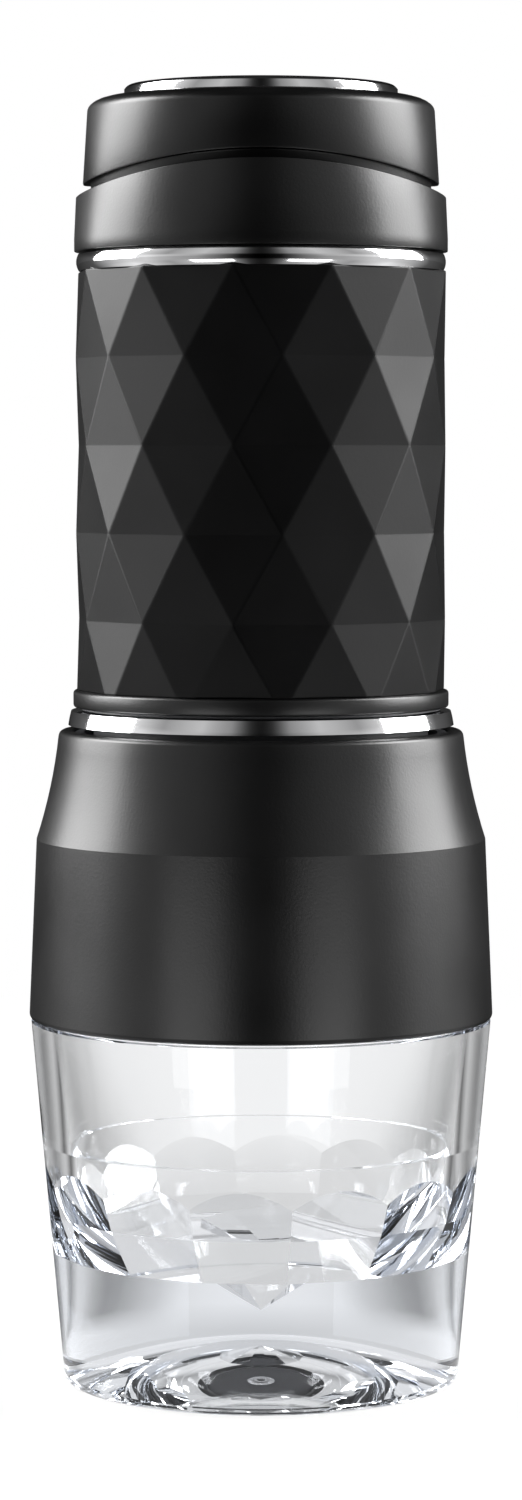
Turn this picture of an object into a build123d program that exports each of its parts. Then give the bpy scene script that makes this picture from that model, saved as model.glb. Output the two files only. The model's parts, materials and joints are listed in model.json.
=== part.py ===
from build123d import *
import os
from math import atan2, cos, degrees, radians, sin

# Handheld manual espresso maker. Millimetres, +Z up, origin on the table under the cup's centre.
# Front is -Y. The press knob and the collar meet on an arch that is high at -Y and +Y.

# Heights of the outer pieces
ledge_z = 37.5
cup_shoulder_z = 56.6
cup_rim_z = 67.8
housing_bottom_z = 57.0
housing_web_z = 70.5
housing_break_z = 85.2
housing_top_z = 102.2
joint_trim_z = 102.7
band_z = 105.4
sleeve_z = 108.4
sleeve_top_z = 173.4
upper_trim_top_z = 176.0
collar_z = 176.4
arch_top_z = 189.5
knob_rim_z = 198.4
knob_top_z = 200.2
overall_top_z = 202.0

# Radii of the outer pieces
cup_foot_r = 31.0
cup_top_r = 36.0
spigot_r = 34.2
mouth_r = 32.4
ledge_r = 30.35
housing_r = 36.3
housing_break_r = 35.1
housing_top_r = 31.65
trim_r = 30.1
band_r = 29.3
facet_r = 28.9
upper_trim_r = 28.7
collar_r = 29.0
knob_skirt_r = 27.9
knob_rim_r = 26.9
arch_r = 94.4
arch_gap = 1.3

# Thread between the brew head and the tank: two starts, each flight over part of a turn
thread_lead = 8.0
thread_starts = 2
flight_span = 150.0
flight_root_half = 1.25
flight_crest_half = 0.65

# Bores that pieces share
chamber_bore_r = 27.6
neck_r = 26.1
tank_r = 24.0
tank_wall = 1.4
well_r = 19.6
cylinder_r = 8.0
rod_r = 4.0

# Lock: lugs on the plunger pass the notches only at the open angle
lug_count = 3
lug_r = 19.0
lug_width = 12.0
notch_r = 19.3
notch_width = 16.0
key_r = 16.9
key_width = 10.0
key_notch_r = 17.1
key_notch_width = 11.0
lug_start = 90.0
key_start = lug_start + 180.0 / lug_count

# Radial play between a thread's pilot hole and its screw, or a pressed pair
pilot_fit = 0.02


def outline(*points):
    return Polyline([(radius, 0, height) for radius, height in points])


def arc(start, middle, end):
    return ThreePointArc(*[(radius, 0, height) for radius, height in (start, middle, end)])


def turned_curves(*curves):
    return revolve(make_face(Curve() + list(curves)), Axis.Z)


def turned(*points, sweep_angle=360.0):
    return revolve(make_face(outline(*points, points[0])), Axis.Z, sweep_angle)


def ring(inner, outer, bottom, top):
    return turned((inner, bottom), (outer, bottom), (outer, top), (inner, top))


def disc(radius, bottom, top):
    return ring(0, radius, bottom, top)


def sector(inner, outer, bottom, top, middle, width):
    corners = ((inner, bottom), (outer, bottom), (outer, top), (inner, top))
    return Rot(0, 0, middle - width / 2) * turned(*corners, sweep_angle=width)


def around(shape, count, radius, start=0.0):
    step = 360.0 / count
    return [Rot(0, 0, start + step * turn) * Pos(radius, 0, 0) * shape for turn in range(count)]


def sectors(inner, outer, bottom, top, width, start):
    return around(sector(inner, outer, bottom, top, 0, width), lug_count, 0, start)


def group(shapes):
    return Compound(children=shapes)


def torus(major, minor, height):
    return Pos(0, 0, height) * Torus(major, minor)


def cross_recess(head, top, depth):
    arm = head * 1.2
    thickness = head * 0.28
    bar = Pos(0, 0, top) * Box(arm, thickness, 2 * depth)
    return [bar, Rot(0, 0, 90) * bar]


def pan_screw(shank, length, head, height):
    body = turned((0, -length), (shank, -length), (shank, 0), (head, 0), (head, height), (0, height))
    return body - cross_recess(head, height, height * 0.6)


def flush_screw(shank, length, head, height):
    body = turned((0, -length), (shank, -length), (shank, -height), (head, 0), (0, 0))
    return body - cross_recess(head, 0, height * 0.6)


def flush_hole(shank, head, height, depth):
    edge = 0.1
    cone = turned((0, -height), (shank, -height), (head + edge, 0), (head + edge, edge), (0, edge))
    return cone + disc(shank, -depth, -height)


def flights(root, crest, centre):
    """Two thread flights whose section stands on radius root and ends on radius crest."""
    section = make_face(
        outline(
            (root, -flight_root_half),
            (crest, -flight_crest_half),
            (crest, flight_crest_half),
            (root, flight_root_half),
            (root, -flight_root_half),
        )
    )
    path = Helix(thread_lead, thread_lead * flight_span / 360.0, (root + crest) / 2)
    flight = Pos(0, 0, centre) * sweep(section, path=path, is_frenet=True)
    return around(flight, thread_starts, 0)


def coil(mean, wire, bottom, top, turns):
    start = bottom + wire
    height = top - wire - start
    path = Helix(height / turns, height, mean)
    section = Plane((mean, 0, 0), z_dir=path % 0) * Circle(wire)
    return Pos(0, 0, start) * sweep(section, path=path, is_frenet=True)


def perforations(hole, rings, bottom, top):
    drill = disc(hole, bottom, top)
    holes = []
    for radius, count in rings:
        holes += around(drill, count, radius)
    return holes


def arch_cylinder(radius, top):
    """Cylinder along Y whose highest line is at height top."""
    length = 80.0
    return Pos(0, 0, top - radius) * Rot(90, 0, 0) * Cylinder(radius, length)


# Cup

def faceted(body, apothem, height, slope):
    """Cut a ring of facets that pass the given distance from the axis at the given height."""
    sides = 12
    first_turn = 24.0
    lean = radians(slope)
    for side in range(sides):
        heading = radians(first_turn + 360.0 * side / sides)
        out = (cos(heading), sin(heading))
        normal = (sin(lean) * out[0], sin(lean) * out[1], -cos(lean))
        plane = Plane((apothem * out[0], apothem * out[1], height), z_dir=normal)
        body = split(body, bisect_by=plane, keep=Keep.BOTTOM)
    return body


def faceted_floor():
    """Cavity under the ledge: two rings of steep facets, a flat floor and a point in its middle."""
    wall_top_r = 29.0
    wall_low_r = 28.1
    upper_facets = (28.6, 33.5, 68.2)
    lower_facets = (25.76, 26.4, 57.0)
    floor_z = 19.5
    point_r = 6.6
    point_z = 13.5
    point_slope = degrees(atan2(floor_z - point_z, point_r))
    wall = turned((0, floor_z), (wall_low_r, floor_z), (wall_top_r, ledge_z), (0, ledge_z))
    basin = faceted(faceted(wall, *upper_facets), *lower_facets)
    point = faceted(disc(point_r + 1, point_z - 1, floor_z), point_r, floor_z, point_slope)
    return basin + point


def cup():
    foot_edge = 1.0
    dome_r = 28.2
    dome_z = 9.5
    rim_edge = 0.6
    body = turned(
        (0, 0),
        (cup_foot_r - foot_edge, 0),
        (cup_foot_r, foot_edge),
        (cup_top_r, cup_shoulder_z),
        (spigot_r, cup_shoulder_z),
        (spigot_r, cup_rim_z - rim_edge),
        (spigot_r - rim_edge, cup_rim_z),
        (0, cup_rim_z),
    )
    cavity = turned(
        (0, ledge_z),
        (ledge_r, ledge_z),
        (mouth_r, cup_shoulder_z),
        (mouth_r, cup_rim_z + 1),
        (0, cup_rim_z + 1),
    )
    foot_dome = Pos(0, 0, dome_z - dome_r) * Sphere(dome_r)
    return body - foot_dome - cavity - faceted_floor()


# Brew head

socket_r = 34.6
grip_groove_r = 35.5
grip_groove_z = (61.0, 63.0)
web_top_z = 73.0
flange_top_z = 76.5
chamber_bottom_z = 63.0
chamber_lower_r = 27.8
chamber_upper_r = 29.0
chamber_top_z = 101.8
basket_bore_r = 23.2
basket_step_z = 84.0
basket_flange = 0.8
gasket_bore_r = 24.6
plate_step_z = 86.5
plate_bore_r = 26.5
plate_bore_top_z = 92.2
outlet_r = 4.5
funnel_low_z = 64.6
chamber_screw_circle = 30.4
chamber_screw_count = 4
chamber_screw_start = 45.0
chamber_screw_r = 1.3
screen_screw_circle = 17.0
screen_screw_count = 3
screen_screw_r = 1.0


def brew_housing():
    wall = 2.2
    bottom_edge = 0.5
    opening_r = 29.3
    web_bore_r = 28.3
    hole_r = 1.4
    crown_edge = 1.0
    opening_depth = 2.6
    outer_end = (housing_top_r, housing_top_z - crown_edge)
    cone_middle = (32.95, 93.2)
    crown_middle = (housing_top_r - 0.3 * crown_edge, housing_top_z - 0.3 * crown_edge)
    lower = outline(
        (socket_r, housing_bottom_z),
        (housing_r - bottom_edge, housing_bottom_z),
        (housing_r, housing_bottom_z + bottom_edge),
        (housing_break_r, housing_break_z),
    )
    cone = arc((housing_break_r, housing_break_z), cone_middle, outer_end)
    crown = arc(outer_end, crown_middle, (housing_top_r - crown_edge, housing_top_z))
    inner = outline(
        (housing_top_r - crown_edge, housing_top_z),
        (opening_r, housing_top_z),
        (opening_r, housing_top_z - opening_depth),
        (housing_break_r - wall - 0.1, housing_break_z - 0.4),
        (housing_r - 0.6 - wall, web_top_z),
        (web_bore_r, web_top_z),
        (web_bore_r, housing_web_z),
        (socket_r, housing_web_z),
        (socket_r, housing_bottom_z),
    )
    shell = turned_curves(lower, cone, crown, inner)
    hole = disc(hole_r, housing_web_z - 1, web_top_z + 1)
    holes = around(hole, chamber_screw_count, chamber_screw_circle, chamber_screw_start)
    return shell - ring(socket_r - 1, grip_groove_r, *grip_groove_z) - holes


def cup_seal():
    inner_r = 32.8
    return ring(inner_r, socket_r - 0.1, cup_rim_z + 0.05, housing_web_z)


def cup_grip_ring():
    section = 0.6
    return torus(grip_groove_r - section, section, sum(grip_groove_z) / 2)


def brew_chamber():
    flange_r = 33.0
    floor_edge = 1.9
    thread_crest_r = 26.45
    thread_z = 96.4
    body = turned(
        (outlet_r, chamber_bottom_z),
        (chamber_lower_r, chamber_bottom_z),
        (chamber_lower_r, web_top_z),
        (flange_r, web_top_z),
        (flange_r, flange_top_z),
        (chamber_upper_r, flange_top_z),
        (chamber_upper_r, chamber_top_z),
        (chamber_bore_r, chamber_top_z),
        (chamber_bore_r, plate_bore_top_z),
        (plate_bore_r, plate_bore_top_z),
        (plate_bore_r, plate_step_z),
        (gasket_bore_r, plate_step_z),
        (gasket_bore_r, basket_step_z),
        (basket_bore_r, basket_step_z),
        (basket_bore_r, funnel_low_z + floor_edge),
        (outlet_r, funnel_low_z),
    )
    pilot = disc(chamber_screw_r, web_top_z - 1, flange_top_z - 0.5)
    pilots = around(pilot, chamber_screw_count, chamber_screw_circle, chamber_screw_start)
    return body - pilots + flights(chamber_bore_r + 0.3, thread_crest_r, thread_z)


def chamber_screws():
    length = flange_top_z - 0.6 - housing_web_z
    head_r = 2.0
    head = 1.4
    screw = pan_screw(chamber_screw_r - pilot_fit, length, head_r, head)
    raised = Pos(0, 0, housing_web_z) * Rot(180, 0, 0) * screw
    return group(around(raised, chamber_screw_count, chamber_screw_circle, chamber_screw_start))


def filter_basket():
    inner_r = 22.0
    sheet = 0.6
    bottom_z = 66.9
    flange_r = 24.3
    lip_r = 20.0
    return turned(
        (lip_r, bottom_z),
        (inner_r + sheet, bottom_z),
        (inner_r + sheet, basket_step_z),
        (flange_r, basket_step_z),
        (flange_r, basket_step_z + basket_flange),
        (inner_r, basket_step_z + basket_flange),
        (inner_r, bottom_z + sheet),
        (lip_r, bottom_z + sheet),
    )


def filter_screen():
    bottom_z = 67.5
    top_z = 67.8
    screen_r = 21.9
    hole_r = 0.8
    hole_rings = ((4, 6), (8, 12), (12, 18), (16, 24))
    return disc(screen_r, bottom_z, top_z) - perforations(hole_r, hole_rings, bottom_z - 1, top_z + 1)


def basket_gasket():
    inner_r = 22.8
    return ring(inner_r, gasket_bore_r - 0.1, basket_step_z + basket_flange, plate_step_z)


seal_plate_top_z = 90.5
seal_recess_z = 87.6
screen_z = 86.6
screen_top_z = 87.1
socket_floor_z = 89.2
nozzle_socket_r = 4.9


def seal_plate():
    recess_r = 21.9
    boss_r = 7.5
    boss_top_z = 93.0
    hole_r = 2.0
    pad_r = 2.2
    pilot_top_z = 89.8
    plate = turned(
        (hole_r, seal_recess_z),
        (recess_r, seal_recess_z),
        (recess_r, plate_step_z),
        (plate_bore_r - 0.2, plate_step_z),
        (plate_bore_r - 0.2, seal_plate_top_z),
        (boss_r, seal_plate_top_z),
        (boss_r, boss_top_z),
        (nozzle_socket_r, boss_top_z),
        (nozzle_socket_r, socket_floor_z),
        (hole_r, socket_floor_z),
    )
    pads = around(disc(pad_r, screen_top_z, seal_recess_z), screen_screw_count, screen_screw_circle)
    pilot = disc(screen_screw_r, screen_top_z - 1, pilot_top_z)
    pilots = around(pilot, screen_screw_count, screen_screw_circle)
    return plate + pads - pilots


def shower_screen():
    screen_r = 21.5
    hole_r = 0.7
    hole_rings = ((5, 6), (9, 12), (13, 18), (19.6, 30))
    holes = perforations(hole_r, hole_rings, screen_z - 1, screen_top_z + 1)
    clearance = disc(screen_screw_r + 0.1, screen_z - 1, screen_top_z + 1)
    clearances = around(clearance, screen_screw_count, screen_screw_circle)
    return disc(screen_r, screen_z, screen_top_z) - holes - clearances


def screen_screws():
    length = 3.0
    head_r = 1.8
    head = 0.6
    screw = pan_screw(screen_screw_r - pilot_fit, length, head_r, head)
    raised = Pos(0, 0, screen_z) * Rot(180, 0, 0) * screw
    return group(around(raised, screen_screw_count, screen_screw_circle))


def tank_gasket():
    inner_r = 23.2
    return ring(inner_r, plate_bore_r - 0.2, seal_plate_top_z, neck_bottom_z - 0.05)


def outlet_nozzle():
    bore_r = 2.0
    tip_r = 3.2
    tip_z = 58.4
    flange_r = 7.0
    flange_z = 61.8
    return turned(
        (bore_r, tip_z),
        (tip_r, tip_z),
        (outlet_r, flange_z),
        (flange_r, flange_z),
        (flange_r, chamber_bottom_z),
        (outlet_r - 0.05, chamber_bottom_z),
        (outlet_r - 0.05, funnel_low_z),
        (bore_r, funnel_low_z),
    )


def bright_ring(inner, outer, bottom, top):
    bulge = 0.9
    middle = (bottom + top) / 2
    flat = outline((outer - bulge, top), (inner, top), (inner, bottom), (outer - bulge, bottom))
    return turned_curves(flat, arc((outer - bulge, bottom), (outer, middle), (outer - bulge, top)))


def joint_trim_ring():
    bore_r = 26.4
    return bright_ring(bore_r, trim_r, joint_trim_z, band_z - 0.2)


# Tank

neck_bottom_z = 92.05
tank_flange_r = 28.0
tank_flange_top_z = 107.4
tank_deck_z = 168.0
tank_top_z = 170.0
well_floor_z = 146.0
well_floor = 4.0
well_wall = 1.2
sleeve_bore_r = tank_r + tank_wall + 0.2
gland_screw_circle = 13.0
gland_screw_count = 3
gland_screw_r = 1.0
plate_screw_circle = 23.0
plate_screw_r = 1.0
cylinder_wall = 1.2
cylinder_bottom_z = 106.0
gland_z = 147.2
gland_top_z = 151.5
gland_flange_r = 15.5


def water_tank():
    hole_r = cylinder_r + cylinder_wall + 0.2
    boss_r = 2.3
    boss_length = 10.0
    pilot_depth = 8.0
    gland_pilot_depth = 3.2
    thread_crest_r = 27.25
    thread_z = 94.4
    seal_groove = (10.2, 11.6)
    body = turned(
        (tank_r, neck_bottom_z),
        (neck_r, neck_bottom_z),
        (neck_r, band_z),
        (tank_flange_r, band_z),
        (tank_flange_r, tank_flange_top_z),
        (tank_r + tank_wall, tank_flange_top_z),
        (tank_r + tank_wall, tank_top_z),
        (well_r, tank_top_z),
        (well_r, well_floor_z),
        (hole_r, well_floor_z),
        (hole_r, well_floor_z - well_floor),
        (well_r + well_wall, well_floor_z - well_floor),
        (well_r + well_wall, tank_deck_z),
        (tank_r, tank_deck_z),
    )
    boss = disc(boss_r, tank_top_z - boss_length, tank_deck_z + 1)
    bosses = around(boss, lug_count, plate_screw_circle, key_start)
    plate_pilot = disc(plate_screw_r, tank_top_z - pilot_depth, tank_top_z + 1)
    plate_pilots = around(plate_pilot, lug_count, plate_screw_circle, key_start)
    gland_pilot = disc(gland_screw_r, well_floor_z - gland_pilot_depth, well_floor_z + 1)
    gland_pilots = around(gland_pilot, gland_screw_count, gland_screw_circle)
    groove = ring(*seal_groove, well_floor_z - 1, well_floor_z + 1)
    solid = body + bosses + flights(neck_r - 0.3, thread_crest_r, thread_z)
    return solid - plate_pilots - gland_pilots - groove


def grip_sleeve():
    """Faceted sleeve: rows of points, each row turned half a step, joined by flat triangles."""
    points_per_row = 12
    row_count = 6
    row_step = 13.48
    front_offset = 6.5
    rows = []
    for row in range(row_count):
        height = sleeve_top_z - row * row_step
        half_turn = 0.0 if row % 2 else 0.5
        corners = []
        for corner in range(points_per_row):
            heading = radians(-90.0 + front_offset + 360.0 * (corner + half_turn) / points_per_row)
            corners.append((facet_r * cos(heading), facet_r * sin(heading), height))
        rows.append(corners)
    faces = [Face(Wire.make_polygon(rows[0])), Face(Wire.make_polygon(rows[-1]))]
    for row in range(row_count - 1):
        upper = rows[row]
        lower = rows[row + 1]
        shift = 1 if row % 2 == 0 else 0
        for corner in range(points_per_row):
            following = (corner + 1) % points_per_row
            under = (corner + shift) % points_per_row
            over = (corner + 1 - shift) % points_per_row
            faces.append(Face(Wire.make_polygon([upper[corner], upper[following], lower[under]])))
            faces.append(Face(Wire.make_polygon([lower[corner], lower[following], upper[over]])))
    prism = Solid(Shell(faces))
    below = rows[-1][0][2] - 1
    bore = disc(sleeve_bore_r, below, sleeve_top_z + 1)
    return prism - bore - disc(facet_r + 1, below, sleeve_z)


def sleeve_band():
    clearance = 0.1
    edge = 0.5
    shelf_z = tank_flange_top_z + clearance
    return turned(
        (tank_flange_r + clearance, band_z),
        (band_r - edge, band_z),
        (band_r, band_z + edge),
        (band_r, sleeve_z - edge),
        (band_r - edge, sleeve_z),
        (sleeve_bore_r, sleeve_z),
        (sleeve_bore_r, shelf_z),
        (tank_flange_r + clearance, shelf_z),
    )


def upper_trim_ring():
    return bright_ring(sleeve_bore_r, upper_trim_r, sleeve_top_z, upper_trim_top_z)


# Pump

def pump_cylinder():
    outer_r = cylinder_r + cylinder_wall
    body = turned(
        (cylinder_r, cylinder_bottom_z),
        (outer_r, cylinder_bottom_z),
        (outer_r, well_floor_z),
        (gland_flange_r, well_floor_z),
        (gland_flange_r, gland_z),
        (cylinder_r, gland_z),
    )
    hole = disc(gland_screw_r + 0.2, well_floor_z - 1, gland_z + 1)
    return body - around(hole, gland_screw_count, gland_screw_circle)


def cylinder_seal():
    section = 0.5
    ring_r = 10.9
    return torus(ring_r, section, well_floor_z - section)


bush_r = 5.6
bush_z = 140.5
gland_bottom_z = 136.5
gland_lip = 1.0
gland_head_r = 2.0
gland_head_depth = 1.7


def gland_cap():
    body = turned(
        (rod_r + 0.3, gland_bottom_z),
        (cylinder_r - 0.1, gland_bottom_z),
        (cylinder_r - 0.1, gland_z),
        (gland_flange_r, gland_z),
        (gland_flange_r, gland_top_z),
        (bush_r, gland_top_z),
        (bush_r, gland_bottom_z + gland_lip),
        (rod_r + 0.3, gland_bottom_z + gland_lip),
    )
    counterbore = disc(gland_head_r + 0.1, gland_top_z - gland_head_depth, gland_top_z + 1)
    hole = disc(gland_screw_r + 0.2, gland_z - 1, gland_top_z) + counterbore
    return body - around(hole, gland_screw_count, gland_screw_circle)


def rod_bush():
    return ring(rod_r + 0.05, bush_r, bush_z, gland_top_z)


def rod_seal():
    return ring(rod_r + 0.05, bush_r, gland_bottom_z + gland_lip, bush_z)


def gland_screws():
    length = 6.8
    head = 1.6
    screw = pan_screw(gland_screw_r - pilot_fit, length, gland_head_r, head)
    raised = Pos(0, 0, gland_top_z - gland_head_depth) * screw
    return group(around(raised, gland_screw_count, gland_screw_circle))


# Valves

block_z = 96.0
block_r = 12.5
inlet_x = 6.7
seat_r = 2.4
seat_top_z = 99.5
inlet_chamber_r = 2.2
inlet_chamber_top_z = 103.4
port_r = 1.2
inlet_ball_r = 1.7
outlet_chamber_r = 2.4
outlet_chamber_top_z = 103.5
outlet_port_r = 1.3
outlet_ball_r = 1.9
nozzle_plug_r = 3.6
nozzle_top_z = 99.0


def valve_block():
    block_top_z = 110.0
    slot_width = 0.8
    slot_length = 3.8
    socket = disc(cylinder_r + cylinder_wall + 0.1, cylinder_bottom_z, block_top_z + 1)
    inlet = disc(seat_r, block_z - 1, seat_top_z)
    inlet += disc(inlet_chamber_r, seat_top_z, inlet_chamber_top_z)
    inlet += disc(port_r, inlet_chamber_top_z, cylinder_bottom_z + 1)
    slot_height = cylinder_bottom_z - inlet_chamber_top_z
    inlet += Pos(0, 0, inlet_chamber_top_z + slot_height / 2) * Box(slot_width, slot_length, slot_height)
    outlet = disc(nozzle_plug_r, block_z - 1, nozzle_top_z)
    outlet += disc(outlet_chamber_r, nozzle_top_z, outlet_chamber_top_z)
    outlet += disc(outlet_port_r, outlet_chamber_top_z, cylinder_bottom_z + 1)
    return disc(block_r, block_z, block_top_z) - socket - Pos(inlet_x, 0, 0) * inlet - outlet


def inlet_seat():
    return Pos(inlet_x, 0, 0) * ring(port_r, seat_r - 0.02, block_z, seat_top_z)


def seated_offset(ball, port):
    """Height of a ball's centre over the edge of the round port that it sits on."""
    return (ball ** 2 - port ** 2) ** 0.5 + 0.03


def inlet_ball():
    return Pos(inlet_x, 0, seat_top_z + seated_offset(inlet_ball_r, port_r)) * Sphere(inlet_ball_r)


def outlet_ball():
    centre_z = outlet_chamber_top_z - seated_offset(outlet_ball_r, outlet_port_r)
    return Pos(0, 0, centre_z) * Sphere(outlet_ball_r)


spring_seat_z = 95.0


def outlet_spring():
    mean_r = 1.7
    wire_r = 0.3
    turns = 5
    ball_bottom = outlet_chamber_top_z - seated_offset(outlet_ball_r, outlet_port_r) - outlet_ball_r
    return coil(mean_r, wire_r, spring_seat_z + 0.02, ball_bottom - 0.08, turns)


def delivery_nozzle():
    bore_r = 1.5
    tube_r = 4.4
    tube_end_z = 89.5
    collar_radius = 5.0
    collar_bottom_z = 94.0
    groove_r = 3.5
    groove_z = (90.6, 92.0)
    return turned(
        (bore_r, tube_end_z),
        (tube_r, tube_end_z),
        (tube_r, groove_z[0]),
        (groove_r, groove_z[0]),
        (groove_r, groove_z[1]),
        (tube_r, groove_z[1]),
        (tube_r, collar_bottom_z),
        (collar_radius, collar_bottom_z),
        (collar_radius, block_z),
        (nozzle_plug_r - 0.02, block_z),
        (nozzle_plug_r - 0.02, nozzle_top_z),
        (outlet_chamber_r, nozzle_top_z),
        (outlet_chamber_r, spring_seat_z),
        (bore_r, spring_seat_z),
    )


def nozzle_o_ring():
    section = 0.65
    height = 91.3
    return torus(nozzle_socket_r - 0.07 - section, section, height)


# Lock and collar

hub_r = 21.0
hub_top_z = 178.6
plate_bore = 17.2
retainer_r = 22.4
retainer_top_z = 179.8
retainer_screw_circle = 19.1
retainer_screw_r = 0.8
retainer_screw_length = 6.2
retainer_head_r = 1.6
retainer_head = 0.8
collar_seat_r = 25.4
collar_web = (176.6, 178.4)
collar_bore_r = 26.8
key_plate_z = 180.2
key_plate_top_z = 182.0
collar_screw_circle = 24.2
collar_screw_r = 0.8
collar_head_r = 1.6
collar_head = 0.8


def lock_notches(bottom, top):
    return sectors(plate_bore - 1, notch_r, bottom, top, notch_width, lug_start)


plate_head_z = 172.6
plate_head_r = 1.7


def lock_plate():
    flange_r = 25.3
    body = turned(
        (plate_bore, tank_top_z),
        (flange_r, tank_top_z),
        (flange_r, collar_z),
        (hub_r, collar_z),
        (hub_r, hub_top_z),
        (plate_bore, hub_top_z),
    )
    hole = disc(plate_screw_r + 0.1, tank_top_z - 1, plate_head_z)
    hole += disc(plate_head_r + 0.1, plate_head_z, collar_z + 1)
    holes = around(hole, lug_count, plate_screw_circle, key_start)
    pilot = disc(retainer_screw_r, hub_top_z - retainer_screw_length + 0.8, hub_top_z + 1)
    pilots = around(pilot, lug_count, retainer_screw_circle, key_start)
    return body - lock_notches(tank_top_z - 1, hub_top_z + 1) - holes - pilots


def plate_screws():
    length = 9.6
    head = 1.5
    screw = Pos(0, 0, plate_head_z) * pan_screw(plate_screw_r - pilot_fit, length, plate_head_r, head)
    return group(around(screw, lug_count, plate_screw_circle, key_start))


def collar_retainer():
    body = ring(plate_bore, retainer_r, hub_top_z, retainer_top_z)
    depth = 3.0
    hole = flush_hole(retainer_screw_r + 0.05, retainer_head_r, retainer_head, depth)
    holes = around(Pos(0, 0, retainer_top_z) * hole, lug_count, retainer_screw_circle, key_start)
    return body - lock_notches(hub_top_z - 1, retainer_top_z + 1) - holes


def retainer_screws():
    screw = flush_screw(retainer_screw_r - pilot_fit, retainer_screw_length, retainer_head_r, retainer_head)
    return group(around(Pos(0, 0, retainer_top_z) * screw, lug_count, retainer_screw_circle, key_start))


def lock_collar():
    bottom_edge = 0.4
    taper = 0.4
    boss_r = 1.6
    web_bore_r = hub_r + 0.3
    body = turned(
        (web_bore_r, collar_web[0]),
        (collar_seat_r, collar_web[0]),
        (collar_seat_r, collar_z),
        (collar_r - bottom_edge, collar_z),
        (collar_r, collar_z + bottom_edge),
        (collar_r - taper, arch_top_z + 1),
        (collar_bore_r, arch_top_z + 1),
        (collar_bore_r, key_plate_z),
        (collar_seat_r, key_plate_z),
        (collar_seat_r, collar_web[1]),
        (web_bore_r, collar_web[1]),
    )
    bosses = around(disc(boss_r, collar_web[1] - 1, key_plate_z), lug_count, collar_screw_circle, lug_start)
    pilot = disc(collar_screw_r, collar_web[0] + 0.3, key_plate_z + 1)
    pilots = around(pilot, lug_count, collar_screw_circle, lug_start)
    return (body & arch_cylinder(arch_r, arch_top_z)) + bosses - pilots


def key_plate():
    bore_r = 16.05
    depth = 3.0
    body = ring(bore_r, collar_bore_r - 0.3, key_plate_z, key_plate_top_z)
    keys = sectors(bore_r - 1, key_notch_r, key_plate_z - 1, key_plate_top_z + 1, key_notch_width, key_start)
    lugs = sectors(bore_r - 1, notch_r, key_plate_z - 1, key_plate_top_z + 1, notch_width, lug_start)
    hole = Pos(0, 0, key_plate_top_z) * flush_hole(collar_screw_r + 0.05, collar_head_r, collar_head, depth)
    return body - keys - lugs - around(hole, lug_count, collar_screw_circle, lug_start)


def collar_screws():
    length = 4.6
    screw = flush_screw(collar_screw_r - pilot_fit, length, collar_head_r, collar_head)
    return group(around(Pos(0, 0, key_plate_top_z) * screw, lug_count, collar_screw_circle, lug_start))


# Plunger

plunger_bottom_z = 152.0
plunger_web_z = 192.0
plunger_top_z = 194.0
plunger_inner_r = 14.0
plunger_outer_r = 15.8
knob_screw_circle = 18.5
knob_screw_r = 0.9
knob_plate_z = 196.4
knob_recess_z = 199.0
knob_recess_r = 21.3


def return_spring():
    mean_r = 10.0
    wire_r = 0.7
    turns = 11
    return coil(mean_r, wire_r, gland_top_z + 0.1, plunger_web_z - 0.1, turns)


def plunger_sleeve():
    flange_r = 22.0
    hole_r = 2.65
    lug_z = (164.0, 169.6)
    root = 0.3
    body = turned(
        (plunger_inner_r, plunger_bottom_z),
        (plunger_outer_r, plunger_bottom_z),
        (plunger_outer_r, plunger_web_z),
        (flange_r, plunger_web_z),
        (flange_r, plunger_top_z),
        (hole_r, plunger_top_z),
        (hole_r, plunger_web_z),
        (plunger_inner_r, plunger_web_z),
    )
    keys = sectors(plunger_outer_r - root, key_r, plunger_bottom_z, plunger_web_z - 2, key_width, key_start)
    lugs = sectors(plunger_outer_r - root, lug_r, *lug_z, lug_width, lug_start)
    hole = disc(knob_screw_r + 0.2, plunger_web_z - 1, plunger_top_z + 1)
    holes = around(hole, lug_count, knob_screw_circle, lug_start)
    return body + keys + lugs - holes


def knob_shell():
    skirt_bottom_z = 182.4
    skirt_inner_r = 24.8
    skirt_outer_r = 26.4
    shoulder_r = 24.2
    boss_r = 2.6
    pilot_top_z = 198.0
    wall = outline(
        (skirt_inner_r, skirt_bottom_z),
        (knob_skirt_r, skirt_bottom_z),
        (knob_rim_r, knob_rim_z),
    )
    shoulder = arc((knob_rim_r, knob_rim_z), (knob_rim_r - 0.75, knob_top_z - 0.5), (shoulder_r, knob_top_z))
    crown = outline(
        (shoulder_r, knob_top_z),
        (knob_recess_r, knob_top_z),
        (knob_recess_r, knob_recess_z),
        (0, knob_recess_z),
        (0, knob_plate_z),
        (skirt_inner_r, knob_plate_z),
        (skirt_inner_r, skirt_bottom_z),
    )
    shell = turned_curves(wall, shoulder, crown) - arch_cylinder(arch_r + arch_gap, arch_top_z + arch_gap)
    skirt = ring(skirt_inner_r, skirt_outer_r, skirt_bottom_z, knob_plate_z + 1)
    bosses = around(disc(boss_r, plunger_top_z, knob_plate_z + 1), lug_count, knob_screw_circle, lug_start)
    pilot = disc(knob_screw_r, plunger_top_z - 1, pilot_top_z)
    pilots = around(pilot, lug_count, knob_screw_circle, lug_start)
    return shell + skirt + bosses - pilots


def knob_trim_ring():
    inner = 19.4
    outer = knob_recess_r - 0.1
    round_r = 0.6
    rim_z = overall_top_z - round_r
    base = outline((outer, rim_z), (outer, knob_recess_z), (inner, knob_recess_z), (inner, rim_z))
    middle = (inner + outer) / 2
    return turned_curves(base, arc((inner, rim_z), (middle, overall_top_z), (outer, rim_z)))


def knob_cap():
    radius = 19.3
    top_z = 201.2
    edge = 0.5
    return turned((0, knob_recess_z), (radius, knob_recess_z), (radius, top_z - edge), (radius - edge, top_z),
                  (0, top_z))


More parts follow.
